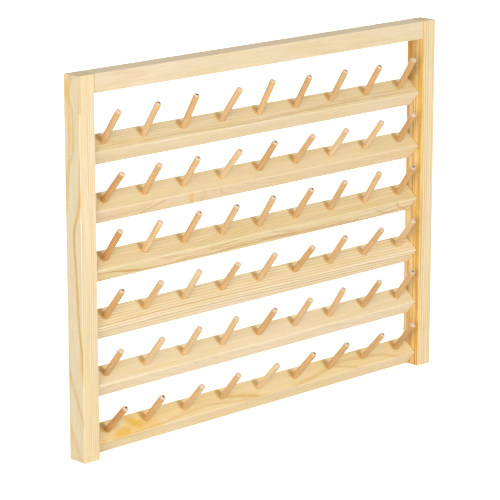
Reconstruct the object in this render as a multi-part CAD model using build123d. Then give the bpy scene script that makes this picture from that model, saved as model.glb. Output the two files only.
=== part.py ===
from build123d import *
import os
from math import cos, radians, sin

# Origin: mouth of the centre hanging hole, on the wall plane behind the top bar.
# +X runs to the viewer's right, +Y into the wall, +Z up.

# Frame
rack_width = 410.0
rack_height = 314.5
frame_depth = 18.5
upright_width = 16.0
top_bar_height = 15.5
frame_edge_round = 0.6

# Rails: square-edged bars, turned so that their top faces slope down towards the front
rail_count = 6
first_rail_drop = 51.0  # from the rack's top to the first rail's back corner
last_rail_lift = 25.0  # from the rack's feet to the last rail's back corner
rail_top_width = 20.0
rail_front_width = 16.0
rail_slope = 40.0  # degrees
rail_edge_round = 0.8

# Pegs: dowels with a slightly tapered root that is glued into a blind hole
pegs_per_rail = 9
peg_end_margin = 17.5  # from an upright to the axis of the nearest peg
peg_setback = 9.5  # from the rail's back corner to a peg's axis, along the top face
peg_diameter = 5.5
peg_reach = 31.5  # from the rail's top face to the tip
peg_tip_round = 1.0
peg_root_depth = 5.0
peg_root_diameter = 5.0
peg_taper_start = 0.6  # height above the rail's top face at which the root's taper ends
glue_gap = 0.05

# The holes were drilled by hand, so every peg tilts towards the front and leans to the right, or
# to the left where negative, by its own angle. Degrees, one line for each rail.
peg_tilts = (
    (33, 31, 28, 29, 25, 30, 32, 35, 33),
    (39, 36, 38, 40, 37, 38, 40, 38, 36),
    (35, 34, 33, 36, 34, 35, 34, 31, 35),
    (38, 39, 36, 39, 38, 41, 37, 39, 37),
    (41, 39, 37, 36, 39, 37, 34, 37, 35),
    (43, 42, 42, 40, 42, 40, 40, 40, 38),
)
peg_leans = (
    (4, 3, 3, 13, 6, 2, 1, -3, -1),
    (5, 1, -3, 3, 1, 4, -2, 1, -2),
    (3, 3, 4, 0, 0, 4, 1, 4, 0),
    (3, 0, 1, 0, 1, 3, 0, 4, 0),
    (-2, 2, 0, -1, 0, 1, -1, 2, 2),
    (3, -1, 1, 0, 4, 7, 4, 8, 3),
)

# Nails: two through each upright into the end of each rail
nail_length = 28.0
nail_shank_diameter = 1.6
nail_head_diameter = 2.2
nail_head_thickness = 0.8
nail_point_length = 2.5
nail_set = 0.2  # depth of the head's face below the wood
nail_spacing = 4.0
nail_setback = 14.5  # from the rail's back corner to the middle of the pair, along the top face
nail_depth = 5.5  # from the rail's top face to the middle of the pair
nail_turns = (60, -50, -40, 50, -40, 35)  # rise of each pair towards the front, in degrees

# Dowels: two in each joint of the top bar
dowel_diameter = 6.0
dowel_length = 24.0
dowel_depth_in_upright = 9.0
dowel_spacing = 8.0
dowel_chamfer = 0.6
dowel_end_gap = 0.8

# Hanging holes: three blind holes that drop over the heads of wall screws
hang_hole_diameter = 11.0
hang_hole_depth = 12.0
hang_hole_end_margin = 39.0  # from an upright to the axis of an outer hole

overrun = 1.0  # how far a cutting tool reaches past the face that it cuts

rack_top = top_bar_height / 2
rack_foot = rack_top - rack_height
inner_side = rack_width / 2 - upright_width
rail_length = 2 * inner_side
rail_pitch = (rack_height - first_rail_drop - last_rail_lift) / (rail_count - 1)
peg_spacing = (rail_length - 2 * peg_end_margin) / (pegs_per_rail - 1)

slope_sin = sin(radians(rail_slope))
slope_cos = cos(radians(rail_slope))


def rail_corners():
    """Corners of a rail's profile as (y, z) from its back corner, in order round it."""
    ridge = (-rail_top_width * slope_cos, -rail_top_width * slope_sin)
    lower = (ridge[0] + rail_front_width * slope_sin, ridge[1] - rail_front_width * slope_cos)
    heel = (0, lower[1] - lower[0] * slope_sin / slope_cos)
    return (0, 0), heel, lower, ridge


def rail_height(row):
    """Height of the back corner of the rail in this row, counted from 0 at the top."""
    return rack_top - first_rail_drop - row * rail_pitch


def peg_frame(row, place):
    """Plane at a peg's crossing of its rail's top face, with its axis as the normal."""
    tilt = radians(peg_tilts[row][place])
    lean = radians(peg_leans[row][place])
    axis = (sin(lean), -sin(tilt) * cos(lean), cos(tilt) * cos(lean))
    foot = (
        -inner_side + peg_end_margin + place * peg_spacing,
        -peg_setback * slope_cos,
        rail_height(row) - peg_setback * slope_sin,
    )
    return Plane(origin=foot, z_dir=axis)


def turned(radii_and_heights):
    """Solid turned about the Z axis through (radius, height) points."""
    bottom = radii_and_heights[0][1]
    top = radii_and_heights[-1][1]
    outline = [(0, bottom), *radii_and_heights, (0, top)]
    return revolve(Plane.XZ * Polygon(*outline), Axis.Z)


def make_peg():
    """One peg on the Z axis, with the rail's face at zero height."""
    radius = peg_diameter / 2
    body = turned([
        (peg_root_diameter / 2, -peg_root_depth),
        (radius, peg_taper_start),
        (radius, peg_reach),
    ])
    return fillet(body.edges().group_by(Axis.Z)[-1], peg_tip_round)


def make_peg_hole():
    """Cutting tool for a peg's hole, a glue gap wider than the root."""
    taper = (peg_diameter - peg_root_diameter) / 2 / (peg_taper_start + peg_root_depth)
    mouth = peg_diameter / 2 + glue_gap
    return turned([
        (peg_root_diameter / 2 + glue_gap, -peg_root_depth),
        (mouth, peg_taper_start),
        (mouth + taper * overrun, peg_taper_start + overrun),
    ])


def make_upright(side):
    """An upright with its nail and dowel holes: side is -1 for the left one, 1 for the right."""
    upright = Box(upright_width, frame_depth, rack_height)
    upright = fillet(upright.edges(), frame_edge_round)
    middle = (side * (inner_side + upright_width / 2), -frame_depth / 2, rack_foot + rack_height / 2)
    upright = Pos(*middle) * upright
    for row in range(rail_count):
        for place in nail_frames(row, side):
            upright -= place * make_nail(glue_gap)
    for place in dowel_frames(side):
        upright -= place * make_dowel_hole()
    return upright


def make_top_bar():
    """The top bar with its dowel holes and the three hanging holes in its back."""
    profile = Rectangle(frame_depth, top_bar_height)
    profile = fillet(profile.vertices(), frame_edge_round)
    section = Plane.YZ * Pos(-frame_depth / 2, 0) * profile
    bar = extrude(section, amount=inner_side, both=True)
    for side in (-1, 1):
        for place in dowel_frames(side):
            bar -= place * make_dowel_hole()
    outer = inner_side - hang_hole_end_margin
    mouth = Rot(90, 0, 0) * Cylinder(
        hang_hole_diameter / 2,
        hang_hole_depth + overrun,
        align=(Align.CENTER, Align.CENTER, Align.MIN),
    )
    for across in (-outer, 0, outer):
        bar -= Pos(across, overrun, 0) * mouth
    return bar


def make_rail(row):
    """A rail with its nine peg holes and the nail holes in its ends."""
    profile = make_face(Plane.YZ * Polyline(*rail_corners(), close=True))
    rail = extrude(Pos(0, 0, rail_height(row)) * profile, amount=inner_side, both=True)
    long_edges = rail.edges().filter_by(Axis.X)
    rail = fillet(long_edges, rail_edge_round)
    for place in range(pegs_per_rail):
        rail -= peg_frame(row, place).location * make_peg_hole()
    for side in (-1, 1):
        for place in nail_frames(row, side):
            rail -= place * make_nail(glue_gap)
    return rail


def nail_frames(row, side):
    """Locations of the two nails at one end of a rail, pointing inwards from the outer side."""
    turn = radians(nail_turns[row])
    middle_y = nail_depth * slope_sin - nail_setback * slope_cos
    middle_z = rail_height(row) - nail_depth * slope_cos - nail_setback * slope_sin
    frames = []
    for step in (-nail_spacing / 2, nail_spacing / 2):
        head = (
            side * (rack_width / 2 - nail_set),
            middle_y - step * cos(turn),
            middle_z + step * sin(turn),
        )
        frames.append(Plane(origin=head, z_dir=(-side, 0, 0)).location)
    return frames


def make_nail(clearance=0.0):
    """One nail along +Z from its head's face, or with a clearance the tool that cuts its hole."""
    head = nail_head_diameter / 2 + clearance
    shank = nail_shank_diameter / 2 + clearance
    rim = overrun if clearance else 0
    return turned([
        (head, -rim),
        (head, nail_head_thickness),
        (shank, nail_head_thickness),
        (shank, nail_length - nail_point_length),
        (clearance, nail_length),
    ])


def dowel_frames(side):
    """Locations of the two dowels in one joint of the top bar, at the joint's plane."""
    frames = []
    for step in (-dowel_spacing / 2, dowel_spacing / 2):
        joint = (side * inner_side, step - frame_depth / 2, 0)
        frames.append(Plane(origin=joint, z_dir=(side, 0, 0)).location)
    return frames


def make_dowel():
    """One dowel on the Z axis, with the joint's plane at zero height and the upright above it."""
    radius = dowel_diameter / 2
    tip = radius - dowel_chamfer
    top = dowel_depth_in_upright
    bottom = top - dowel_length
    return turned([
        (tip, bottom),
        (radius, bottom + dowel_chamfer),
        (radius, top - dowel_chamfer),
        (tip, top),
    ])


def make_dowel_hole():
    """Cutting tool for a dowel's hole in the upright and in the bar's end."""
    radius = dowel_diameter / 2 + glue_gap
    bottom = dowel_depth_in_upright - dowel_length - dowel_end_gap
    return turned([(radius, bottom), (radius, dowel_depth_in_upright)])


def build_nodes():
    """Every node of the rack by name, each one solid or a group of like solids."""
    peg = make_peg()
    nail = make_nail()
    dowel = make_dowel()
    nodes = {
        "left_upright": make_upright(-1),
        "right_upright": make_upright(1),
        "top_bar": make_top_bar(),
    }
    dowels = [place * dowel for side in (-1, 1) for place in dowel_frames(side)]
    nodes["top_bar_dowels"] = Compound(children=dowels)
    for row in range(rail_count):
        name = f"rail_{row + 1}"
        nodes[name] = make_rail(row)
        pegs = [peg_frame(row, place).location * peg for place in range(pegs_per_rail)]
        nodes[f"{name}_pegs"] = Compound(children=pegs)
        nails = [place * nail for side in (-1, 1) for place in nail_frames(row, side)]
        nodes[f"{name}_nails"] = Compound(children=nails)
    return nodes


os.makedirs("parts", exist_ok=True)
for name, shape in build_nodes().items():
    export_step(shape, f"parts/{name}.step")
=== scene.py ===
from math import radians

import bpy
import numpy as np
from mathutils import Euler, Matrix, Vector


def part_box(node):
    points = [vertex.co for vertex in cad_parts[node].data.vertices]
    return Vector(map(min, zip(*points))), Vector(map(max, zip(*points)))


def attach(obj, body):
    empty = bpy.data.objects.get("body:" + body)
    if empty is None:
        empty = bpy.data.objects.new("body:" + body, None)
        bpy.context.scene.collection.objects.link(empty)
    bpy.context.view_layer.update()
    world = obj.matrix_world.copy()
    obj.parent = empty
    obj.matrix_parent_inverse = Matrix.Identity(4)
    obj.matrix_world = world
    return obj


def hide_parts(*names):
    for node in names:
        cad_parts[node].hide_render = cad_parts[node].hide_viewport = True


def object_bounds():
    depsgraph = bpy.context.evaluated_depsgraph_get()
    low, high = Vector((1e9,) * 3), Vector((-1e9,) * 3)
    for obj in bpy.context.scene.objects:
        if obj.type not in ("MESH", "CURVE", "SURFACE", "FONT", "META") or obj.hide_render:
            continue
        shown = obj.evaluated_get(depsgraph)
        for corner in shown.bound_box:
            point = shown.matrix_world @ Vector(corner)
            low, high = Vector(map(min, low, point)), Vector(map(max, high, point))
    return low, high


bl_info = {
    "name": "Thread Rack",
    "version": (1, 0, 0),
    "blender": (4, 5, 0),
    "location": "View3D > Sidebar > Thread Rack",
    "description": "Planed pine, turned pegs and a studio for a wall-hung thread rack",
    "category": "Object",
}

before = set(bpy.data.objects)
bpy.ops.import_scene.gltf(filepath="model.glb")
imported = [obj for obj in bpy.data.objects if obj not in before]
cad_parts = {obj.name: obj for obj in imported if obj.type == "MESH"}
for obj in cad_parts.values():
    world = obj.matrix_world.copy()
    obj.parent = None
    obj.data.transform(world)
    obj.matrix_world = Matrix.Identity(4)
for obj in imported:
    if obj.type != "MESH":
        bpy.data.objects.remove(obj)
solid_box = [list(corner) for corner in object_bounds()]

MILLIMETRE = 0.001

# The rack as the CAD has it, in degrees and millimetres.
RAILS = 6
RAIL_SLOPE = 40
RAIL_TOP_WIDTH = 20
PEG_SPACING = 42.875
PEG_SETBACK = 9.5

# The directions along a board and across it, out from the wall.
ALONG_X = ((1, 0, 0), (0, -1, 0))
ALONG_Z = ((0, 0, 1), (0, -1, 0))

# In metres: the least gap between the points of two pegs, and the depth of a peg's rim.
PEG_GAP = 0.01
RIM = 0.00002

# A peg's mesh: its sides, the steps of its rounded tip, the rim round its inset end as a share of
# its radius, and the angle in degrees up to which it is shaded smooth.
PEG_SIDES = 32
TIP_SEGMENTS = 4
END_RIM = 0.3
SMOOTH_ANGLE = 35

# In a peg's own coordinates, in millimetres: the heights between which its colour gives way to its
# end's, partly end grain and partly a painted highlight on the rounded rim, and the middle of the
# painted spot of shade on its end.
PEG_END = (30.3, 31.0)
TIP_SHADE_SPOT = (0.6, 0.2, 31.5)

# How pale a peg is, from -1, dark, to 1, pale, by rail and place, where it isn't as the rest.
PEG_TONES = {
    (1, 3): 0.1, (1, 6): 0.0, (1, 8): 0.1, (1, 9): 0.0,
    (2, 1): -0.4, (2, 4): 0.9, (2, 5): -0.2, (2, 7): 1.0, (2, 8): 0.7, (2, 9): -0.2,
    (3, 1): -0.6, (3, 2): 0.8, (3, 6): 0.1, (3, 9): 0.0,
    (4, 1): -0.1, (4, 3): 1.0, (4, 6): 0.0,
    (5, 1): 0.1, (5, 2): 0.8, (5, 3): 0.8, (5, 4): 0.6, (5, 5): 0.0, (5, 8): 0.0,
    (6, 1): -0.6, (6, 2): 0.1, (6, 5): 1.0, (6, 6): 0.1, (6, 7): 0.1, (6, 8): 0.1, (6, 9): -0.2,
}

# How dark the painted spot of shade on the end of a peg is, by rail and place. The others have
# none.
PEG_TIP_SHADES = {
    (1, 2): 1.0, (1, 3): 1.0, (1, 6): 0.6, (1, 7): 0.7, (1, 8): 0.9, (2, 3): 0.6, (2, 4): 0.6,
    (2, 5): 1.0, (3, 3): 0.8, (3, 4): 0.8, (3, 5): 0.9, (3, 6): 1.0, (3, 9): 1.0, (4, 1): 0.9,
    (4, 7): 0.6, (4, 8): 0.3, (5, 5): 0.7, (5, 7): 0.4, (5, 9): 1.0, (6, 1): 1.0, (6, 2): 0.9,
    (6, 6): 1.0, (6, 7): 0.9, (6, 8): 0.9,
}

# The range of a pith's offsets in millimetres, which a ramp's colours hold as 0 to 1.
PITH_SPAN = 320.0

# How fine each noise is along a board, across it and through it, in features per millimetre.
FIBRE = (0.05, 2.6, 2.6)
BAND = (0.014, 0.5, 0.5)
CLOUD = (0.015, 0.08, 0.08)
SWAY = (0.007, 0.06, 0.06)
RIPPLE = (0.05, 0.25, 0.25)
RAGGED = (0.1, 0.3, 0.3)
DASHES = (0.16, 2.4, 2.4)

# How far the noises of two boards lie apart.
SEED_STEP = 7.3

# The shares of a year's growth over which its late wood comes and goes.
LATE_RISE = (0.62, 0.88)
LATE_FALL = (0.92, 1.0)

# How far from its middle line a streak fades out, as a share of its width.
STREAK_REACH = 0.75

# The woods' gloss, and the relief of each finish in metres.
WOOD_IOR = 1.45
PLANED_RELIEF = 0.00012
TURNED_RELIEF = 0.00008
STEEL_RELIEF = 0.0001

# The painted shadow of a peg behind its foot, in millimetres: how far its middle lies to the left
# of the peg's axis and behind it, and half its width and depth.
PEG_SHADOW_PATCH = (2.1, 2.9, 3.8, 5.8)

# Each board: its pith's path past it, as (share of the length, offset across, offset through) in
# millimetres from the corner at the board's back; the width of a year's growth in millimetres; how
# far the rings waver; how strongly late wood shows; how golden it is, where it isn't as the rest;
# the tint of the board as a whole; and, on a rail, painted light: a tint on top of that which makes
# its front lighter and paler than its top.
BOARDS = {
    "left_upright": {
        "pith": (
            (0.0, 2.6, 121.1), (0.09, -2.4, 121.7), (0.14, -8.2, 121.7), (0.19, -5.5, 123.0),
            (0.24, -4.9, 123.6), (0.29, -5.4, 123.7), (0.35, -8.3, 123.7), (0.51, -10.2, 123.8),
            (0.6, -12.2, 123.7), (0.66, -6.5, 123.7), (0.72, -3.8, 123.7), (0.78, -7.3, 123.0),
            (0.83, -14.3, 121.1), (0.91, -11.6, 121.8), (0.94, -5.0, 123.3), (1.0, 0.4, 123.4),
        ),
        "year": 2.0, "waver": 0.25, "late": 0.95, "gold": 0.5, "tint": (0.945, 0.975, 1.0),
    },
    "right_upright": {
        "pith": ((0.0, 6, -42), (0.2, 1, -41), (0.4, 8, -42), (0.7, 3, -41), (1.0, 7, -42)),
        "year": 2.7, "waver": 0.8, "late": 0.95, "tint": (0.97, 0.99, 0.98),
    },
    "top_bar": {
        "pith": ((0.0, -42, 8), (0.4, -44, 5), (0.7, -42, 8), (1.0, -43, 9)),
        "year": 3.4, "waver": 1.0, "late": 0.25, "tint": (0.90, 0.91, 0.93),
    },
    "rail_1": {
        "pith": ((0.0, -41, -58), (0.3, -39, -60), (0.6, -41, -61), (1.0, -43, -59)),
        "year": 1.7, "waver": 0.8, "late": 0.45,
        "tint": (0.96, 0.98, 0.94), "brow": (1.07, 1.11, 1.26),
    },
    "rail_2": {
        "pith": (
            (0.0, -29, 0), (0.14, -29, 0), (0.2, -31, 0), (0.24, -32.3, 0), (0.275, -31, 0),
            (0.3, -29.3, 0), (0.38, -23.3, -2), (0.5, -18.8, -6), (0.76, -15.8, -8), (1.0, -13, -8),
        ),
        "year": 1.7, "waver": 0.4, "late": 0.35,
        "tint": (0.96, 0.97, 0.90), "brow": (1.06, 1.07, 1.2),
    },
    "rail_3": {
        "pith": (
            (0.0, -72, -14), (0.25, -70, -16), (0.5, -71, -13), (0.8, -69, -16), (1.0, -71, -14),
        ),
        "year": 1.8, "waver": 1.1, "late": 1.0,
        "tint": (0.965, 0.985, 0.91), "brow": (1.08, 1.1, 1.2),
    },
    "rail_4": {
        "pith": (
            (0.0, -30, -24), (0.35, -30, -25), (0.6, -27, -26), (0.8, -25, -27), (1.0, -22, -28),
        ),
        "year": 2.3, "waver": 0.7, "late": 1.2,
        "tint": (1.02, 1.065, 1.05), "brow": (1.09, 1.15, 1.34),
    },
    "rail_5": {
        "pith": ((0.0, -30, 0), (0.15, -31, -2), (0.45, -22, -4), (0.7, -20, -2), (1.0, -17, 0)),
        "year": 1.8, "waver": 0.6, "late": 0.25,
        "tint": (1.0, 1.03, 1.04), "brow": (1.11, 1.16, 1.32),
    },
    "rail_6": {
        "pith": ((0.0, 8, -40), (0.3, 6, -41), (0.55, 8, -40), (0.8, 4, -42), (1.0, 9, -40)),
        "year": 2.6, "waver": 0.8, "late": 0.45,
        "tint": (1.0, 0.975, 0.815), "brow": (1.06, 1.12, 1.38),
    },
}

# Streaks by board, each on one face of it: "slope" and "brow" are a rail's top and front, "front"
# and "side" an upright's front and its left-hand side, which is the outer side of the left upright
# and the inner side of the right one. Then its kind, its start and end as (millimetres along from
# the middle, millimetres across the face: from the wall on a slope or side, from the ridge on a
# brow, from the left on a front), its width in millimetres and its strength.
STREAKS = {
    "left_upright": (
        ("front", "brown", (160, 0.6), (128, 0.8), 2.4, 0.45),
        ("side", "resin", (150, 4), (112, 7), 6.0, 0.5),
        ("side", "resin", (116, 8), (86, 4), 6.0, 0.4),
    ),
    "right_upright": (
        ("side", "resin", (118, 16.5), (-60, 15.5), 6.0, 0.8),
        ("side", "resin", (-60, 15.5), (-140, 16), 5.0, 0.7),
        ("side", "brown", (60, 17), (-110, 16), 1.8, 0.4),
        # The next four brown streaks are painted shadows that the pegs cast on the inner side.
        ("side", "brown", (64, 16.5), (42, 15.5), 4.4, 0.5),
        ("side", "brown", (16, 15.5), (-8, 16.5), 4.4, 0.5),
        ("side", "brown", (-31, 16.5), (-54, 15.5), 4.4, 0.55),
        ("side", "brown", (-80, 15.5), (-104, 16.5), 4.4, 0.6),
        ("side", "brown", (141, 3), (112, 4), 8.0, 0.6),
        ("side", "heart", (143, 3.5), (106, 4.5), 9.0, 1.0),
        ("side", "brown", (141, 9), (112, 10), 7.0, 0.55),
        ("side", "resin", (141, 16), (112, 16), 6.0, 0.5),
    ),
    "rail_1": (
        ("slope", "brown", (-186, 15.5), (-150, 13.2), 1.1, 0.35),
        ("slope", "brown", (-138, 15.8), (-100, 15.1), 1.1, 0.4),
        ("slope", "brown", (-100, 15.1), (-58, 16.9), 1.3, 0.55),
        ("slope", "brown", (-58, 16.9), (-5, 17.7), 1.3, 0.6),
        ("slope", "brown", (-5, 17.7), (32, 16.1), 1.3, 0.55),
        ("slope", "brown", (32, 16.1), (115, 14.8), 1.3, 0.6),
        ("slope", "brown", (115, 14.8), (184, 16.4), 1.2, 0.5),
        ("slope", "brown", (-114, 14.4), (-58, 13.8), 1.1, 0.3),
        ("slope", "brown", (-58, 13.8), (-2, 15.8), 1.2, 0.35),
        ("slope", "brown", (-2, 15.8), (40, 14.3), 1.2, 0.4),
        ("slope", "brown", (40, 14.3), (122, 12.0), 1.2, 0.4),
        ("slope", "brown", (122, 12.0), (178, 12.4), 1.2, 0.35),
        ("slope", "resin", (-175, 13), (-120, 16), 6.0, 0.2),
    ),
    "rail_2": (
        ("brow", "brown", (-134, 14), (-112, 0.8), 1.7, 0.6),
        ("brow", "resin", (-84, -1), (-77, 12), 5.5, 0.6),
        ("brow", "brown", (-71, 0), (-65, 12), 5.5, 0.2),
        ("brow", "brown", (-186, 11), (-134, 7), 1.4, 0.25),
    ),
    "rail_3": (
        ("brow", "brown", (-95, 10), (-54, 6.2), 1.8, 0.5),
        ("brow", "brown", (-54, 6.2), (2, 6.5), 1.9, 0.6),
        ("brow", "brown", (0, 7), (42, 9.5), 3.6, 0.75),
        ("brow", "brown", (42, 9.5), (120, 12), 3.1, 0.6),
        ("brow", "brown", (-60, 5), (-34, 0.5), 1.9, 0.55),
        ("brow", "resin", (-90, 14), (20, 13.5), 1.8, 0.35),
        ("brow", "brown", (136, 2), (150, 9.5), 1.8, 0.5),
        ("brow", "brown", (150, 9.5), (166, 12), 2.6, 0.35),
        ("brow", "brown", (163, 0), (168, 6), 2.4, 0.5),
        ("brow", "brown", (168, 6), (182, 12.5), 2.6, 0.5),
        ("brow", "brown", (189, 12), (190, 2), 1.8, 0.3),
    ),
    "rail_6": (
        ("slope", "resin", (-164, 16.5), (-153, 15), 9.0, 1.0),
        ("slope", "resin", (-168, 17), (-146, 15.5), 13.0, 0.45),
        ("slope", "resin", (-145, 8), (-139, 12.5), 13.0, 1.0),
        ("slope", "resin", (-143, 10), (-124, 16), 15.0, 0.5),
        ("slope", "resin", (-188, 18.6), (-168, 17.6), 2.6, 0.5),
        # The next three resin-coloured streaks, just behind the feet of the second to fourth pegs,
        # are painted warm shadows of those pegs.
        ("slope", "resin", (-131, 2), (-127, 7), 7.0, 0.7),
        ("slope", "resin", (-88, 2), (-84, 7), 6.0, 0.4),
        ("slope", "resin", (-45, 2), (-41, 7), 6.0, 0.5),
        ("slope", "resin", (-38, 9), (-6, 17), 6.0, 0.35),
        ("slope", "brown", (-42, 9), (-8, 17), 3.4, 0.42),
        ("slope", "brown", (86, 9), (114, 17), 3.0, 0.36),
    ),
}

# Each softbox: its place and its side length, in metres.
SOFTBOXES = {
    "key": ((0.35, -2.6, 0.75), 0.32),
    "fill": ((-2.3, -1.3, 0.3), 1.2),
    "back": ((0.4, 2.6, 0.6), 1.3),
    "side": ((2.6, 0.2, 0.1), 1.0),
}
LAMP_TARGET = (0, 0, -0.15)
FLOOR_SIZE = 12.0

# The camera: place in metres, turn in degrees, lens and sensor in millimetres, and view distance.
CAMERA_PLACE = (-1.43858, -1.48811, 0.34949)
CAMERA_TURN = (75.936, 0, -43.955)
CAMERA_LENS = 181.5
CAMERA_SENSOR = 36
CAMERA_RANGE = 100


class Value:
    """A number socket that takes part in Python arithmetic."""

    def __init__(self, shader, socket):
        self.shader = shader
        self.socket = socket

    def __add__(self, other):
        return self.shader.math("ADD", self, other)

    def __sub__(self, other):
        return self.shader.math("SUBTRACT", self, other)

    def __rsub__(self, other):
        return self.shader.math("SUBTRACT", other, self)

    def __mul__(self, other):
        return self.shader.math("MULTIPLY", self, other)

    def __truediv__(self, other):
        return self.shader.math("DIVIDE", self, other)

    def __pow__(self, other):
        return self.shader.math("POWER", self, other)

    def __rtruediv__(self, other):
        return self.shader.math("DIVIDE", other, self)

    __radd__ = __add__
    __rmul__ = __mul__


class Shader:
    """The node tree of a new material or world, built from expressions."""

    def __init__(self, owner):
        owner.use_nodes = True
        self.owner = owner
        self.tree = owner.node_tree
        self.tree.nodes.clear()

    def node(self, kind, settings=None, sockets=None, out=0):
        """Adds a node with its settings, then the values or links of its sockets."""
        node = self.tree.nodes.new("ShaderNode" + kind)
        for key, value in (settings or {}).items():
            if key == "stops":
                ramp_stops(node.color_ramp, value)
            elif key == "ease":
                node.color_ramp.interpolation = value
            else:
                setattr(node, key, value)
        for key, value in (sockets or {}).items():
            if isinstance(value, Value):
                self.tree.links.new(value.socket, node.inputs[key])
            else:
                node.inputs[key].default_value = value
        return Value(self, node.outputs[out]) if node.outputs else None

    def math(self, operation, *values):
        """A Math node on numbers and number sockets."""
        return self.node("Math", {"operation": operation}, dict(enumerate(values)))

    def step(self, value, low, high, to_low=0.0, to_high=1.0):
        """Eases from to_low to to_high as the value goes from low to high."""
        sockets = {"Value": value, 1: low, 2: high, 3: to_low, 4: to_high}
        return self.node("MapRange", {"interpolation_type": "SMOOTHSTEP"}, sockets)

    def mix(self, share, first, second, blend="MIX"):
        """Mixes two colours, each one worked out by nodes or given as red, green and blue."""
        first, second = (
            colour if isinstance(colour, Value) else (*colour, 1) for colour in (first, second))
        settings = {"data_type": "RGBA", "blend_type": blend}
        return self.node("Mix", settings, {0: share, 6: first, 7: second}, out=2)

    def shade(self, colour, level):
        """The colour made lighter or darker, where a level of 1 leaves it as it is."""
        grey = self.node("CombineColor", {}, {0: level, 1: level, 2: level})
        return self.mix(1.0, colour, grey, "MULTIPLY")

    def place(self, middle, turn):
        """Coordinates of a board or fitting in millimetres from its middle."""
        spot = self.node("TexCoord", out=3)
        sockets = {
            "Vector": spot, "Location": middle, "Rotation": turn,
            "Scale": (MILLIMETRE, MILLIMETRE, MILLIMETRE),
        }
        return self.node("Mapping", {"vector_type": "TEXTURE"}, sockets)

    def noise(self, spot, stretch, detail=2.0, rough=0.5, shift=0.0):
        """Soft noise from 0 to 1 on coordinates multiplied by stretch."""
        sockets = {"Vector": spot, "Scale": stretch, "Location": (shift, shift * 2, shift * 3)}
        spread = self.node("Mapping", {"vector_type": "POINT"}, sockets)
        return self.node("TexNoise", {}, {
            "Vector": spread, "Scale": 1.0, "Detail": detail, "Roughness": rough,
        })

    def split(self, vector):
        """The three numbers of a vector or a colour."""
        source = self.node("SeparateXYZ", {}, {0: vector})
        return [Value(self, socket) for socket in source.socket.node.outputs]

    def bump(self, height, strength, distance):
        """Normal of a surface whose height varies, with its greatest relief in metres."""
        sockets = {"Height": height, "Strength": strength, "Distance": distance}
        return self.node("Bump", {}, sockets)

    def finish(self, sockets):
        """Ends a material with its surface, and returns it."""
        surface = self.node("BsdfPrincipled", {}, sockets)
        self.node("OutputMaterial", {}, {"Surface": surface})
        return self.owner


def ramp_stops(ramp, stops):
    """Gives a new colour ramp its stops as (position, colour)."""
    while len(ramp.elements) < len(stops):
        ramp.elements.new(0.5)
    for element, (position, colour) in zip(ramp.elements, stops):
        element.position = position
        element.color = colour


class BoardLook(bpy.types.PropertyGroup):
    """Colours and finish of the uprights, the top bar and the rails"""
    early_colour: bpy.props.FloatVectorProperty(
        name="Early wood", description="Colour of the pale wood between the rings",
        default=(0.865, 0.69, 0.475), size=3, subtype="COLOR", min=0, max=1)
    late_colour: bpy.props.FloatVectorProperty(
        name="Late wood", description="Colour of the dark line that ends each ring",
        default=(0.63, 0.33, 0.10), size=3, subtype="COLOR", min=0, max=1)
    warm_colour: bpy.props.FloatVectorProperty(
        name="Warm wood", description="Colour of the yellower patches",
        default=(0.84, 0.66, 0.32), size=3, subtype="COLOR", min=0, max=1)
    heart_colour: bpy.props.FloatVectorProperty(
        name="Heartwood", description="Colour of the heartwood along the right upright",
        default=(0.94, 0.65, 0.25), size=3, subtype="COLOR", min=0, max=1)
    heart_dark_colour: bpy.props.FloatVectorProperty(
        name="Dark heartwood", description="Colour of the dark streaks in the heartwood",
        default=(0.60, 0.285, 0.05), size=3, subtype="COLOR", min=0, max=1)
    resin_colour: bpy.props.FloatVectorProperty(
        name="Resin", description="Colour of the yellow resin stains",
        default=(0.84, 0.51, 0.08), size=3, subtype="COLOR", min=0, max=1)
    brown_colour: bpy.props.FloatVectorProperty(
        name="Streaks", description="Colour of the thin brown streaks",
        default=(0.58, 0.33, 0.10), size=3, subtype="COLOR", min=0, max=1)
    end_colour: bpy.props.FloatVectorProperty(
        name="End grain", description="Colour of the sawn ends",
        default=(0.50, 0.34, 0.17), size=3, subtype="COLOR", min=0, max=1)
    # Colour of the painted shadow that each peg casts on the rail behind its foot.
    peg_shadow_colour: bpy.props.FloatVectorProperty(
        name="Glue", description="Colour of the wood that the glue has darkened round the pegs",
        default=(0.67, 0.39, 0.09), size=3, subtype="COLOR", min=0, max=1)
    roughness: bpy.props.FloatProperty(
        name="Roughness", description="How matt the planed faces are",
        default=0.55, min=0, max=1, subtype="FACTOR")


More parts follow.
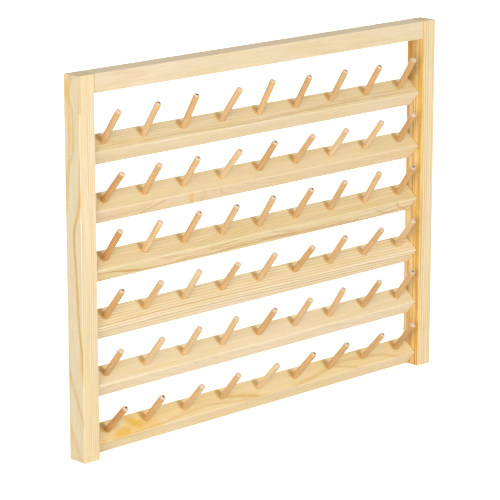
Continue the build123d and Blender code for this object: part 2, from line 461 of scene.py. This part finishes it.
class PegLook(bpy.types.PropertyGroup):
    """Sizes and colours of the pegs"""
    diameter: bpy.props.FloatProperty(
        name="Diameter", description="Diameter of a peg",
        default=0.0055, min=0.001, unit="LENGTH", subtype="DISTANCE")
    reach: bpy.props.FloatProperty(
        name="Reach", description="Length from the rail's face to the tip",
        default=0.0315, min=0.005, unit="LENGTH", subtype="DISTANCE")
    root_diameter: bpy.props.FloatProperty(
        name="Root diameter", description="Diameter of the foot of the root in its hole",
        default=0.005, min=0.001, unit="LENGTH", subtype="DISTANCE")
    root_depth: bpy.props.FloatProperty(
        name="Root depth", description="Depth of the root in the rail",
        default=0.005, min=0.001, unit="LENGTH", subtype="DISTANCE")
    taper_start: bpy.props.FloatProperty(
        name="Taper start", description="Height above the rail at which the root's taper ends",
        default=0.0006, min=0, unit="LENGTH", subtype="DISTANCE")
    tip_round: bpy.props.FloatProperty(
        name="Tip round", description="Radius of the rounded rim of the tip",
        default=0.001, min=0, unit="LENGTH", subtype="DISTANCE")
    colour: bpy.props.FloatVectorProperty(
        name="Colour", description="Colour of most pegs",
        default=(0.665, 0.393, 0.161), size=3, subtype="COLOR", min=0, max=1)
    pale_colour: bpy.props.FloatVectorProperty(
        name="Pale pegs", description="Colour of the palest pegs",
        default=(0.765, 0.555, 0.308), size=3, subtype="COLOR", min=0, max=1)
    dark_colour: bpy.props.FloatVectorProperty(
        name="Dark pegs", description="Colour of the darkest pegs",
        default=(0.54, 0.245, 0.071), size=3, subtype="COLOR", min=0, max=1)
    # A peg's end: pale end grain, carried over the rounded rim as a painted highlight.
    end_colour: bpy.props.FloatVectorProperty(
        name="End", description="Colour of a peg's cut end",
        default=(0.75, 0.56, 0.41), size=3, subtype="COLOR", min=0, max=1)
    # Colour of the painted spot of shade on the ends of some pegs.
    tip_shade_colour: bpy.props.FloatVectorProperty(
        name="Mark", description="Colour of the mark on the ends of some pegs",
        default=(0.05, 0.03, 0.02), size=3, subtype="COLOR", min=0, max=1)


class FittingLook(bpy.types.PropertyGroup):
    """Colours and finish of the nails and dowels"""
    steel_colour: bpy.props.FloatVectorProperty(
        name="Nails", description="Colour of the nails' steel",
        default=(0.90, 0.84, 0.70), size=3, subtype="COLOR", min=0, max=1)
    dowel_colour: bpy.props.FloatVectorProperty(
        name="Dowels", description="Colour of the dowels in the joints of the top bar",
        default=(0.72, 0.50, 0.28), size=3, subtype="COLOR", min=0, max=1)
    roughness: bpy.props.FloatProperty(
        name="Roughness", description="How matt the nails are",
        default=0.4, min=0, max=1, subtype="FACTOR")


class StageLook(bpy.types.PropertyGroup):
    """Place of the floor and strength of the lights"""
    floor_drop: bpy.props.FloatProperty(
        name="Floor drop", description="How far the floor lies below the rack's feet",
        default=0.0, min=0, unit="LENGTH", subtype="DISTANCE")
    ambient: bpy.props.FloatProperty(
        name="Ambient", description="Strength of the studio's even light",
        default=0.485, min=0, max=2)
    key_power: bpy.props.FloatProperty(
        name="Key", description="Power of the softbox to the right of the camera",
        default=23.0, min=0, unit="POWER")
    fill_power: bpy.props.FloatProperty(
        name="Fill", description="Power of the left softbox",
        default=35.0, min=0, unit="POWER")
    back_power: bpy.props.FloatProperty(
        name="Back", description="Power of the softbox behind the rack",
        default=32.0, min=0, unit="POWER")
    side_power: bpy.props.FloatProperty(
        name="Side", description="Power of the softbox at the rack's right side",
        default=14.0, min=0, unit="POWER")


def turn_of(axes):
    """Rotation whose X runs along a board and whose Y runs across it, out from the wall."""
    along, across = (Vector(axis).normalized() for axis in axes)
    columns = (along, across, along.cross(across))
    return Matrix(columns).transposed().to_euler()


def board_corner(node):
    """Middle of the edge that a board is measured from: its back corner, at the left or on top."""
    low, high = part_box(node)
    if node.endswith("upright"):
        return Vector((low.x, high.y, (low.z + high.z) / 2))
    return Vector(((low.x + high.x) / 2, high.y, high.z))


def board_axes(node):
    """Directions along a board and across it, out from the wall or down a rail's slope."""
    if node.endswith("upright"):
        return ALONG_Z
    if node == "top_bar":
        return ALONG_X
    down = Euler((radians(RAIL_SLOPE), 0, 0)).to_matrix() @ Vector((0, -1, 0))
    return (1, 0, 0), tuple(down)


def ring_radius(shader, spot, length, board, seed):
    """Distance in millimetres from the pith, which winds past the board."""
    along, across, through = shader.split(spot)
    stops = [
        (share, (side / PITH_SPAN + 0.5, deep / PITH_SPAN + 0.5, 0, 1))
        for share, side, deep in board["pith"]]
    path = shader.node(
        "ValToRGB", {"ease": "CARDINAL", "stops": stops}, {"Fac": along / length + 0.5})
    side, deep = shader.split(path)[:2]
    aside = across - (side - 0.5) * PITH_SPAN
    beyond = through - (deep - 0.5) * PITH_SPAN
    sway = shader.noise(spot, SWAY, shift=seed) - 0.5
    ripple = shader.noise(spot, RIPPLE, shift=seed + 3) - 0.5
    waver = (sway * 1.6 + ripple * 0.3) * (board["waver"] * board["year"])
    return (aside ** 2 + beyond ** 2) ** 0.5 + waver


def late_wood(shader, spot, length, board, seed):
    """How much late wood a place has: rings that darken outwards and end sharply, each its own."""
    rings = ring_radius(shader, spot, length, board, seed) / board["year"]
    phase = shader.math("FRACT", rings)
    late = shader.step(phase, *LATE_RISE) * shader.step(phase, *LATE_FALL, 1.0, 0.0)
    year = shader.math("FLOOR", rings) + seed
    tone = shader.node("TexWhiteNoise", {"noise_dimensions": "1D"}, {"W": year})
    return late * (tone * 0.7 + 0.3)


def streak(shader, flat, start, end, width):
    """How strongly a soft streak between two points of a face shows, from 0 to 1."""
    start = Vector((*start, 0))
    run = Vector((*end, 0)) - start
    offset = shader.node("VectorMath", {"operation": "SUBTRACT"}, {0: flat, 1: start})
    share = shader.node(
        "VectorMath", {"operation": "DOT_PRODUCT"}, {0: offset, 1: run / run.length_squared}, 1)
    share = shader.node("Clamp", {}, {"Value": share})
    nearest = shader.node("VectorMath", {"operation": "SCALE"}, {0: run, "Scale": share})
    distance = shader.node("VectorMath", {"operation": "DISTANCE"}, {0: offset, 1: nearest}, 1)
    return shader.step(distance, 0.0, width * STREAK_REACH, 1.0, 0.0)


def streaks(shader, node, spot, kind, colour, stain):
    """The colour with a board's streaks of one kind in it, which have the colour of the stain."""
    chosen = [row for row in STREAKS.get(node, ()) if row[1] == kind]
    if not chosen:
        return colour
    along, across, through = shader.split(spot)
    bend = 5.0 if kind == "resin" else 2.0
    ragged = (shader.noise(spot, RAGGED, rough=0.6, shift=4.0) - 0.5) * bend
    faces = {
        "slope": (across, shader.step(through, 1.0, 2.5, 1.0, 0.0)),
        "brow": (through, shader.step(across, 18.0, 19.5)),
        "side": (across, shader.step(through, 0.5, 2.0, 1.0, 0.0)),
        "front": (through, shader.step(across, 16.5, 18.0)),
    }
    total = 0.0
    for face, _, start, end, width, strength in chosen:
        measure, shown = faces[face]
        flat = shader.node("CombineXYZ", {}, {0: along, 1: measure + ragged, 2: 0.0})
        share = streak(shader, flat, start, end, width) * shown * strength
        total = shader.math("MAXIMUM", share, total)
    return shader.mix(total, colour, stain)


def end_grain(shader, node):
    """1 on the sawn ends of a board and 0 on its sides."""
    normal = shader.split(shader.node("TexCoord", out=1))
    along = normal[2] if node.endswith("upright") else normal[0]
    return shader.step(shader.math("ABSOLUTE", along), 0.6, 0.9)


def edge_band(shader, node, spot):
    """1 on a rail's ridge or another board's long edges, fading within a millimetre."""
    across, through = shader.split(spot)[1:]
    if node.startswith("rail"):
        from_ridge = shader.math("ABSOLUTE", RAIL_TOP_WIDTH - across)
        reach = from_ridge + shader.math("ABSOLUTE", through)
    else:
        low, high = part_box(node)
        size = high - low
        depth = size.y / MILLIMETRE / 2
        width = (size.x if node.endswith("upright") else size.z) / MILLIMETRE / 2
        from_middle = shader.math("ABSOLUTE", across - depth)
        reach = depth + width - (from_middle + shader.math("ABSOLUTE", through - width))
    return shader.step(reach, 0.2, 1.3, 1.0, 0.0)


def joint_line(shader, along, length, shade):
    """Shade of the thin line where a board's end meets an upright."""
    from_middle = shader.math("ABSOLUTE", along)
    return shader.step(from_middle, length / 2 - 0.7, length / 2 - 0.1, 1.0, shade)


def corner_shade(shader, along, length):
    """Soft shade on the last few millimetres of a rail beside the left upright."""
    return shader.step(along, -length / 2, 5 - length / 2, 0.92, 1.0)


def peg_foot_shade(shader, along, across):
    """Shares of the painted shade at the back of a peg's foot and of the peg's painted shadow
    behind it.
    """
    half = PEG_SPACING / 2
    beside = shader.math("FLOORED_MODULO", along + half, PEG_SPACING) - half
    ahead = across - PEG_SETBACK
    distance = (beside ** 2 + ahead ** 2) ** 0.5
    line = shader.step(distance, 2.8, 3.4, 1.0, 0.0) * shader.step(ahead, -1.0, 2.0, 1.0, 0.0)
    left, behind, half_width, half_depth = PEG_SHADOW_PATCH
    peg_shadow = ((beside + left) / half_width) ** 2 + ((ahead + behind) / half_depth) ** 2
    return line, shader.step(peg_shadow, 0.2, 1.3, 1.0, 0.0)


def resin_canals(shader, spot, seed):
    """Short fine dashes along the grain, from 0 to 1."""
    dashes = shader.noise(spot, DASHES, detail=1.0, shift=seed + 20)
    return shader.step(dashes, 0.66, 0.78)


def heartwood(shader, through, band, cloud, colour, look):
    """The colour with streaky heartwood in it along the inner side of the right upright."""
    edge = through + (cloud - 0.5) * 3 + (band - 0.5) * 2
    share = shader.step(edge, 0.8, 3.2, 1.0, 0.0)
    dark = shader.step(band, 0.46, 0.66)
    streaky = shader.mix(dark, look.heart_colour, look.heart_dark_colour)
    return shader.mix(share * 0.8, colour, streaky)


def board_wood(node, look):
    """Planed pine: rings about a winding pith, fibres, streaks, worn edges and a matt finish."""
    board = BOARDS[node]
    is_rail = node.startswith("rail")
    shader = Shader(bpy.data.materials.new(node + "_pine"))
    low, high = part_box(node)
    length = max(high - low) / MILLIMETRE
    spot = shader.place(board_corner(node), turn_of(board_axes(node)))
    along, across, through = shader.split(spot)
    seed = sorted(BOARDS).index(node) * SEED_STEP

    late = late_wood(shader, spot, length, board, seed)
    fibre = shader.noise(spot, FIBRE, detail=3.0, rough=0.6, shift=seed + 5)
    band = shader.noise(spot, BAND, shift=seed + 8)
    cloud = shader.noise(spot, CLOUD, shift=seed + 11)

    warmth = shader.step(cloud, 0.3, 0.7, 0.0, 0.4) + shader.step(band, 0.35, 0.7, 0.0, 0.35)
    colour = shader.mix(warmth, look.early_colour, look.warm_colour)
    colour = shader.mix(1.0, colour, board["tint"], "MULTIPLY")
    if is_rail:
        # Painted light: a rail's front is tinted lighter and paler than its top, as the light
        # falling on it would make it.
        front_light_share = shader.step(across, 17.0, 19.8)
        colour = shader.mix(front_light_share, colour, board["brow"], "MULTIPLY")
    ring_colour = shader.mix(board.get("gold", 0.1), look.late_colour, look.resin_colour)
    colour = shader.mix(late * board["late"], colour, ring_colour)
    if node == "right_upright":
        colour = heartwood(shader, through, band, cloud, colour, look)
    colour = streaks(shader, node, spot, "resin", colour, look.resin_colour)
    colour = streaks(shader, node, spot, "brown", colour, look.brown_colour)
    colour = streaks(shader, node, spot, "heart", colour, look.heart_dark_colour)
    colour = shader.mix(resin_canals(shader, spot, seed) * 0.25, colour, look.brown_colour)
    colour = shader.mix(end_grain(shader, node) * 0.4, colour, look.end_colour)

    grain = shader.step(fibre, 0.25, 0.75, 0.94, 1.04) * shader.step(band, 0.3, 0.7, 1.02, 0.965)
    if is_rail:
        # Painted shade round each peg: a dark line at the back of its foot and a warm painted
        # shadow behind it.
        line, peg_shadow = peg_foot_shade(shader, along, across)
        top = shader.step(through, 1.0, 2.0, 1.0, 0.0)
        colour = shader.mix(peg_shadow * top * 0.75, colour, look.peg_shadow_colour)
        grain = grain * joint_line(shader, along, length, 0.5) * (1 - line * top * 0.35)
        grain = grain * corner_shade(shader, along, length)
    if node == "top_bar":
        grain = grain * joint_line(shader, along, length, 0.92)
    # Rails are a little darker along the ridge: painted shade that dulls the highlight the rounded
    # ridge catches. The other boards are a little lighter along their long edges.
    edge = -0.06 if is_rail else 0.04
    colour = shader.shade(colour, grain * (1 + edge_band(shader, node, spot) * edge))

    height = fibre * 0.6 + late * 0.4
    return shader.finish({
        "Base Color": colour, "IOR": WOOD_IOR,
        "Roughness": shader.step(fibre, 0.2, 0.8, look.roughness + 0.08, look.roughness - 0.06),
        "Normal": shader.bump(height, 0.25, PLANED_RELIEF),
    })


def peg_wood(look):
    """Turned birch: fibres along each peg, its own tone, a pale end that is partly a painted
    highlight on its rounded rim, and on some a painted spot of shade.
    """
    shader = Shader(bpy.data.materials.new("peg_birch"))
    spot = shader.node("Attribute", {"attribute_name": "peg_place"}, out=1)
    tone, mark, seed = (
        shader.node("Attribute", {"attribute_name": "peg_" + name}, out=2)
        for name in ("tone", "mark", "seed"))
    across, through, along = shader.split(spot)
    own = shader.node("VectorMath", {"operation": "ADD"}, {
        0: spot, 1: shader.node("CombineXYZ", {}, {0: seed, 1: seed, 2: seed * 5})})
    fibre = shader.noise(own, (2.2, 2.2, 0.06), detail=3.0, rough=0.6)
    cloud = shader.noise(own, (0.3, 0.3, 0.03), shift=5.0)
    colour = shader.mix(tone, look.colour, look.pale_colour)
    colour = shader.mix(0 - tone, colour, look.dark_colour)
    grain = shader.step(fibre, 0.25, 0.75, 0.86, 1.08) * shader.step(cloud, 0.3, 0.7, 0.92, 1.05)
    colour = shader.shade(colour, grain)
    # The pale end is partly end grain and partly a painted highlight on the rounded rim.
    colour = shader.mix(shader.step(along, *PEG_END), colour, look.end_colour)
    # Painted shade: a dark spot on the ends of some pegs.
    right, back, up = TIP_SHADE_SPOT
    from_tip_shade = ((across - right) ** 2 + (through - back) ** 2 + (along - up) ** 2) ** 0.5
    dark = shader.step(from_tip_shade, 0.8, 1.35, 1.0, 0.0) * mark
    colour = shader.mix(dark, colour, look.tip_shade_colour)
    return shader.finish({
        "Base Color": colour, "IOR": WOOD_IOR,
        "Roughness": shader.step(fibre, 0.2, 0.8, 0.55, 0.45),
        "Normal": shader.bump(fibre, 0.2, TURNED_RELIEF),
    })


def dowel_wood(look):
    """Plain turned dowels with fibres along them."""
    shader = Shader(bpy.data.materials.new("dowel_beech"))
    spot = shader.place(Vector(), Euler())
    fibre = shader.noise(spot, (0.08, 2.4, 2.4), detail=3.0, rough=0.6)
    colour = shader.shade(look.dowel_colour, shader.step(fibre, 0.25, 0.75, 0.85, 1.08))
    return shader.finish({
        "Base Color": colour, "IOR": WOOD_IOR,
        "Roughness": shader.step(fibre, 0.2, 0.8, 0.65, 0.5),
        "Normal": shader.bump(fibre, 0.2, TURNED_RELIEF),
    })


def nail_steel(look):
    """Bright drawn steel, a little dulled in specks."""
    shader = Shader(bpy.data.materials.new("nail_steel"))
    spot = shader.place(Vector(), Euler())
    speck = shader.noise(spot, (1.5, 1.5, 1.5), detail=3.0, rough=0.6)
    roughness = shader.step(speck, 0.2, 0.8, look.roughness - 0.1, look.roughness + 0.1)
    return shader.finish({
        "Base Color": shader.shade(look.steel_colour, shader.step(speck, 0.2, 0.8, 0.9, 1.04)),
        "Metallic": 0.6, "Roughness": roughness,
        "Normal": shader.bump(speck, 0.3, STEEL_RELIEF),
    })


def dress(node, material):
    """Gives a CAD node one material all over."""
    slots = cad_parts[node].material_slots
    if not slots:
        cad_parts[node].data.materials.append(material)
    for slot in slots:
        slot.material = material


class DressUprights(bpy.types.Operator):
    """Gives the two uprights their pine"""
    bl_idname = "rack.dress_uprights"
    bl_label = "Uprights"
    bl_options = {"REGISTER", "UNDO"}

    def execute(self, context):
        for node in ("left_upright", "right_upright"):
            dress(node, board_wood(node, context.scene.rack_boards))
        return {"FINISHED"}


class DressTopBar(bpy.types.Operator):
    """Gives the top bar its pine and its dowels their beech"""
    bl_idname = "rack.dress_top_bar"
    bl_label = "Top bar"
    bl_options = {"REGISTER", "UNDO"}

    def execute(self, context):
        dress("top_bar", board_wood("top_bar", context.scene.rack_boards))
        dress("top_bar_dowels", dowel_wood(context.scene.rack_fittings))
        return {"FINISHED"}


class DressRails(bpy.types.Operator):
    """Gives each rail its own pine"""
    bl_idname = "rack.dress_rails"
    bl_label = "Rails"
    bl_options = {"REGISTER", "UNDO"}

    def execute(self, context):
        for node in BOARDS:
            if node.startswith("rail"):
                dress(node, board_wood(node, context.scene.rack_boards))
        return {"FINISHED"}


class DressNails(bpy.types.Operator):
    """Gives the nails their steel"""
    bl_idname = "rack.dress_nails"
    bl_label = "Nails"
    bl_options = {"REGISTER", "UNDO"}

    def execute(self, context):
        material = nail_steel(context.scene.rack_fittings)
        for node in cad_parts:
            if node.endswith("nails"):
                dress(node, material)
        return {"FINISHED"}


def peg_frames(node):
    """Each peg's place, with its axis as Z and the foot of its root as the origin."""
    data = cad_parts[node].data
    points = np.empty(len(data.vertices) * 3)
    data.vertices.foreach_get("co", points)
    points = np.unique(points.reshape(-1, 3).round(7), axis=0)
    gaps = np.flatnonzero(np.diff(points[:, 0]) > PEG_GAP) + 1
    return [peg_frame(cluster) for cluster in np.split(points, gaps)]


def peg_frame(points):
    """Place of one peg, from the rims of its root and of its tip."""
    middle = points.mean(axis=0)
    axis = np.linalg.svd(points - middle)[2][0]
    axis *= np.sign(axis[2])
    heights = (points - middle) @ axis
    foot = points[heights < heights.min() + RIM].mean(axis=0)
    tip = points[heights > heights.max() - RIM].mean(axis=0)
    up = Vector(tip - foot).normalized()
    right = (Vector((1, 0, 0)) - up * up.x).normalized()
    turn = Matrix((right, up.cross(right), up)).transposed().to_4x4()
    return Matrix.Translation(Vector(foot)) @ turn


def turn_peg(look):
    """Models one peg about the Z axis from the foot of its root: taper, shaft and rounded tip."""
    taper = look.diameter / look.root_diameter
    bpy.ops.object.select_all(action="DESELECT")
    bpy.ops.mesh.primitive_circle_add(
        vertices=PEG_SIDES, radius=look.root_diameter / 2, fill_type="NGON", location=(0, 0, 0))
    peg = bpy.context.object
    bpy.ops.object.mode_set(mode="EDIT")
    bpy.ops.mesh.extrude_region_move(
        TRANSFORM_OT_translate={"value": (0, 0, look.root_depth + look.taper_start)})
    bpy.ops.transform.resize(value=(taper, taper, 1))
    bpy.ops.mesh.extrude_region_move(
        TRANSFORM_OT_translate={"value": (0, 0, look.reach - look.taper_start)})
    bpy.ops.mesh.bevel(offset=look.tip_round, segments=TIP_SEGMENTS, affect="EDGES")
    bpy.ops.mesh.select_all(action="DESELECT")
    bpy.ops.object.mode_set(mode="OBJECT")
    for face in peg.data.polygons:
        face.select = face.normal.z > 0.999 and face.center.z > look.reach
    bpy.ops.object.mode_set(mode="EDIT")
    bpy.ops.mesh.inset(thickness=look.diameter / 2 * END_RIM)
    bpy.ops.mesh.poke()
    bpy.ops.mesh.select_all(action="SELECT")
    bpy.ops.mesh.normals_make_consistent(inside=False)
    bpy.ops.object.mode_set(mode="OBJECT")
    bpy.ops.object.shade_smooth_by_angle(angle=radians(SMOOTH_ANGLE))
    return peg


def peg_looks(row, place):
    """The seed, tone and painted spot of shade of one peg. Most pegs differ a little from the usual
    tone.
    """
    usual = 0.35 + 0.1 * ((row * 5 + place * 7) % 4 - 1.5)
    return {
        "peg_seed": row * 3.7 + place * 11.3,
        "peg_tone": PEG_TONES.get((row, place), usual),
        "peg_mark": PEG_TIP_SHADES.get((row, place), 0.0),
    }


def note_on_mesh(data, name, kind, values):
    """Writes a value for every point of a mesh, for its material to read."""
    layer = data.attributes.new(name, kind, "POINT")
    layer.data.foreach_set("vector" if kind == "FLOAT_VECTOR" else "value", values)


def copy_peg(pattern, place, root_depth, looks):
    """A copy of the pattern peg in its place, with its own coordinates and looks on its mesh."""
    peg = pattern.copy()
    peg.data = pattern.data.copy()
    bpy.context.scene.collection.objects.link(peg)
    count = len(peg.data.vertices)
    points = np.empty(count * 3)
    peg.data.vertices.foreach_get("co", points)
    own = (points.reshape(-1, 3) - (0, 0, root_depth)) / MILLIMETRE
    note_on_mesh(peg.data, "peg_place", "FLOAT_VECTOR", own.ravel())
    for name, value in looks.items():
        note_on_mesh(peg.data, name, "FLOAT", [value] * count)
    peg.data.transform(place)
    return peg


def join_pieces(pieces, name):
    """Joins the pieces to one with this name."""
    bpy.ops.object.select_all(action="DESELECT")
    for piece in pieces:
        piece.select_set(True)
    bpy.context.view_layer.objects.active = pieces[0]
    bpy.ops.object.join()
    whole = bpy.context.object
    whole.name = name
    whole.data.name = name
    return whole


class TurnPegs(bpy.types.Operator):
    """Turns one peg and sets a copy of it in every hole"""
    bl_idname = "rack.turn_pegs"
    bl_label = "Pegs"
    bl_options = {"REGISTER", "UNDO"}

    def execute(self, context):
        look = context.scene.rack_pegs
        material = peg_wood(look)
        pattern = turn_peg(look)
        for row in range(1, RAILS + 1):
            node = f"rail_{row}_pegs"
            pegs = [
                copy_peg(pattern, spot, look.root_depth, peg_looks(row, place))
                for place, spot in enumerate(peg_frames(node), 1)]
            whole = join_pieces(pegs, f"pegs_on_rail_{row}")
            whole.data.materials.append(material)
            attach(whole, "root")
            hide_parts(node)
        bpy.data.objects.remove(pattern)
        return {"FINISHED"}


def softbox(name, place, size, power):
    """A square lamp that faces the middle of the rack."""
    lamp = bpy.data.lights.new(name, "AREA")
    lamp.shape = "SQUARE"
    lamp.size = size
    lamp.energy = power
    body = bpy.data.objects.new(name, lamp)
    bpy.context.scene.collection.objects.link(body)
    body.location = place
    aim = Vector(LAMP_TARGET) - Vector(place)
    body.rotation_euler = aim.to_track_quat("-Z", "Y").to_euler()


def studio_world(strength):
    """White behind the rack and in its gloss, and an even light that is weaker from the wall."""
    shader = Shader(bpy.data.worlds.new("studio"))
    path = shader.node("LightPath")
    rays = [Value(shader, path.socket.node.outputs[name]) for name in
            ("Is Camera Ray", "Is Glossy Ray", "Is Transmission Ray")]
    seen = shader.math("MAXIMUM", shader.math("MAXIMUM", rays[0], rays[1]), rays[2])
    depth, height = shader.split(shader.node("TexCoord", out=0))[1:]
    level = shader.step(height, 0.05, 0.9, strength, strength * 1.05)
    level = level * shader.step(depth, -0.2, 0.7, 1.0, 0.66)
    total = seen + (1 - seen) * level
    background = shader.node("Background", {}, {"Color": (1, 1, 1, 1), "Strength": total})
    shader.node("OutputWorld", {}, {"Surface": background})
    return shader.owner


def white_floor():
    """Pale matt paper that takes the rack's shadow and merges with the white behind it."""
    shader = Shader(bpy.data.materials.new("floor_white"))
    spot = shader.place(Vector(), Euler())
    mottle = shader.noise(spot, (0.004, 0.004, 0.004))
    tone = shader.mix(mottle, (0.89, 0.89, 0.89), (0.91, 0.91, 0.91))
    plain = shader.node("BsdfDiffuse", {}, {"Color": tone})
    seen = shader.node("LightPath")
    glow = shader.node("Emission", {}, {"Color": (1, 1, 1, 1), "Strength": 0.8 * seen})
    surface = shader.node("AddShader", {}, {0: plain, 1: glow})
    shader.node("OutputMaterial", {}, {"Surface": surface})
    return shader.owner


class SetStage(bpy.types.Operator):
    """Sets the floor, the lamps and the camera"""
    bl_idname = "rack.set_stage"
    bl_label = "Stage"
    bl_options = {"REGISTER", "UNDO"}

    def execute(self, context):
        look = context.scene.rack_stage
        feet = solid_box[0][2]
        bpy.ops.object.select_all(action="DESELECT")
        bpy.ops.mesh.primitive_plane_add(
            size=FLOOR_SIZE, location=(0, 0, feet - look.floor_drop))
        floor = context.object
        floor.name = "floor"
        bpy.ops.object.transform_apply(location=True, rotation=False, scale=False)
        floor.data.materials.append(white_floor())

        context.scene.world = studio_world(look.ambient)
        for name, (place, size) in SOFTBOXES.items():
            softbox(name, place, size, getattr(look, name + "_power"))

        eye = bpy.data.objects.new("camera", bpy.data.cameras.new("camera"))
        context.scene.collection.objects.link(eye)
        eye.location = CAMERA_PLACE
        eye.rotation_euler = [radians(angle) for angle in CAMERA_TURN]
        eye.data.lens = CAMERA_LENS
        eye.data.sensor_width = CAMERA_SENSOR
        eye.data.clip_end = CAMERA_RANGE
        context.scene.camera = eye
        context.scene.view_settings.view_transform = "Standard"
        return {"FINISHED"}


STEPS = (DressUprights, DressTopBar, DressRails, TurnPegs, DressNails, SetStage)
LOOKS = {
    "rack_boards": BoardLook, "rack_pegs": PegLook, "rack_fittings": FittingLook,
    "rack_stage": StageLook,
}


class RackPanel(bpy.types.Panel):
    """The rack's steps and looks in the sidebar"""
    bl_idname = "VIEW3D_PT_thread_rack"
    bl_label = "Thread Rack"
    bl_space_type = "VIEW_3D"
    bl_region_type = "UI"
    bl_category = "Thread Rack"

    def draw(self, context):
        for step in STEPS:
            self.layout.operator(step.bl_idname)
        for name, look in LOOKS.items():
            box = self.layout.box()
            for key in look.__annotations__:
                box.prop(getattr(context.scene, name), key)


def register():
    """Registers the looks, a scene property for each, the steps and the panel."""
    for look in LOOKS.values():
        bpy.utils.register_class(look)
    for name, look in LOOKS.items():
        setattr(bpy.types.Scene, name, bpy.props.PointerProperty(type=look))
    for step in (*STEPS, RackPanel):
        bpy.utils.register_class(step)


def unregister():
    """Takes back what register does, in the opposite order."""
    for step in (RackPanel, *reversed(STEPS)):
        bpy.utils.unregister_class(step)
    for name, look in LOOKS.items():
        delattr(bpy.types.Scene, name)
        bpy.utils.unregister_class(look)


def main():
    """Registers the add-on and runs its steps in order."""
    register()
    for step in STEPS:
        group, name = step.bl_idname.split(".")
        getattr(getattr(bpy.ops, group), name)()


if __name__ == "__main__":
    main()
